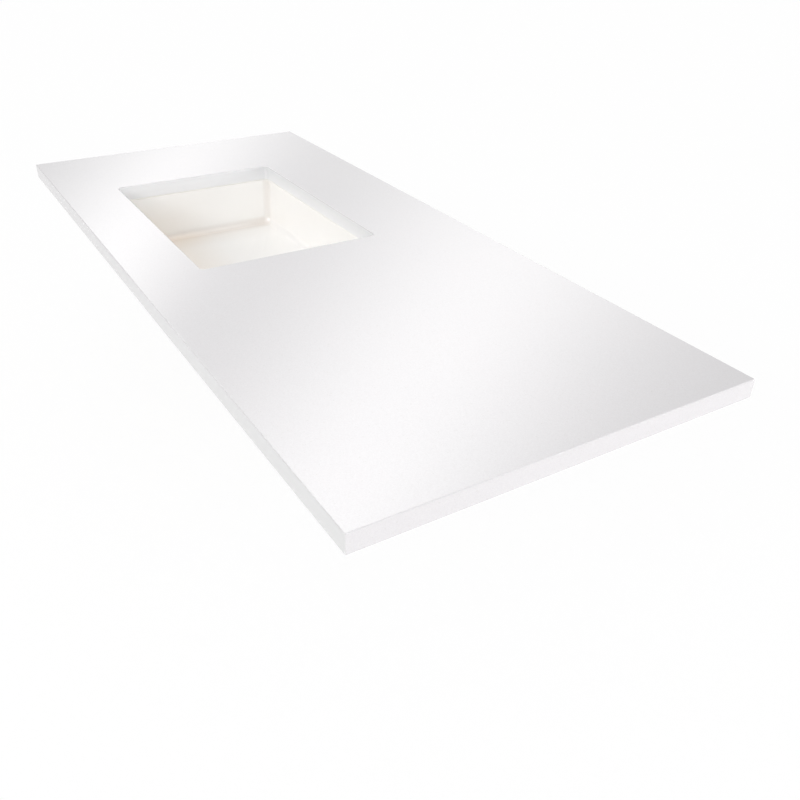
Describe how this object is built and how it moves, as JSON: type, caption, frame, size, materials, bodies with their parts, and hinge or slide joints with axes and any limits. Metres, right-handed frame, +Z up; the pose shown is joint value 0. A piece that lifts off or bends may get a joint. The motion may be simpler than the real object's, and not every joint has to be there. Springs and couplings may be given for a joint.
{
  "type": "vanity sink top",
  "caption": "Rectangular stone vanity top with a left-offset undermount ceramic basin, clip fixings, an overflow and a push-stopper waste.",
  "frame": {"origin": "middle of the slab's back edge, on its underside: where the wall and the cabinet's top meet", "axes": "+X to the right of a person at the front, +Y towards the wall, +Z up"},
  "size_m": [1.3, 0.559, 0.3256],
  "materials": {
    "stone": "polished, nearly white, very fine grain",
    "glazed_china": "gloss glaze, warm white",
    "sealant": "cured silicone, satin",
    "zinc_steel": "bright zinc plate",
    "brass": "machined, unpolished",
    "chrome": "polished plate",
    "rubber": "matt black",
    "nylon": "natural, satin"
  },
  "bodies": {
    "sink_top": {"countertop_slab": "stone", "rim_sealant": "sealant", "basin_bowl": "glazed_china", "threaded_insert_1": "brass", "clip_stud_1": "zinc_steel", "basin_clip_1": "zinc_steel", "clip_washer_1": "zinc_steel", "wing_nut_1": "zinc_steel", "threaded_insert_2": "brass", "clip_stud_2": "zinc_steel", "basin_clip_2": "zinc_steel", "clip_washer_2": "zinc_steel", "wing_nut_2": "zinc_steel", "threaded_insert_3": "brass", "clip_stud_3": "zinc_steel", "basin_clip_3": "zinc_steel", "clip_washer_3": "zinc_steel", "wing_nut_3": "zinc_steel", "threaded_insert_4": "brass", "clip_stud_4": "zinc_steel", "basin_clip_4": "zinc_steel", "clip_washer_4": "zinc_steel", "wing_nut_4": "zinc_steel", "threaded_insert_5": "brass", "clip_stud_5": "zinc_steel", "basin_clip_5": "zinc_steel", "clip_washer_5": "zinc_steel", "wing_nut_5": "zinc_steel", "threaded_insert_6": "brass", "clip_stud_6": "zinc_steel", "basin_clip_6": "zinc_steel", "clip_washer_6": "zinc_steel", "wing_nut_6": "zinc_steel", "drain_body": "chrome", "flange_seal": "rubber", "drain_gasket": "rubber", "friction_washer": "nylon", "lock_nut": "brass", "tailpiece_seal": "rubber", "tailpiece": "chrome", "cartridge_housing": "brass", "cartridge_spring": "zinc_steel", "cartridge_plug": "brass"},
    "stopper": {"stopper_cap": "chrome", "stopper_seal": "rubber", "stopper_plunger": "brass"}
  },
  "joints": [
    {"name": "stopper_lift", "type": "slide", "parent": "sink_top", "child": "stopper", "axis": [0, 0, 1], "range_m": [0, 0.009], "deforming": ["cartridge_spring"]}
  ]
}
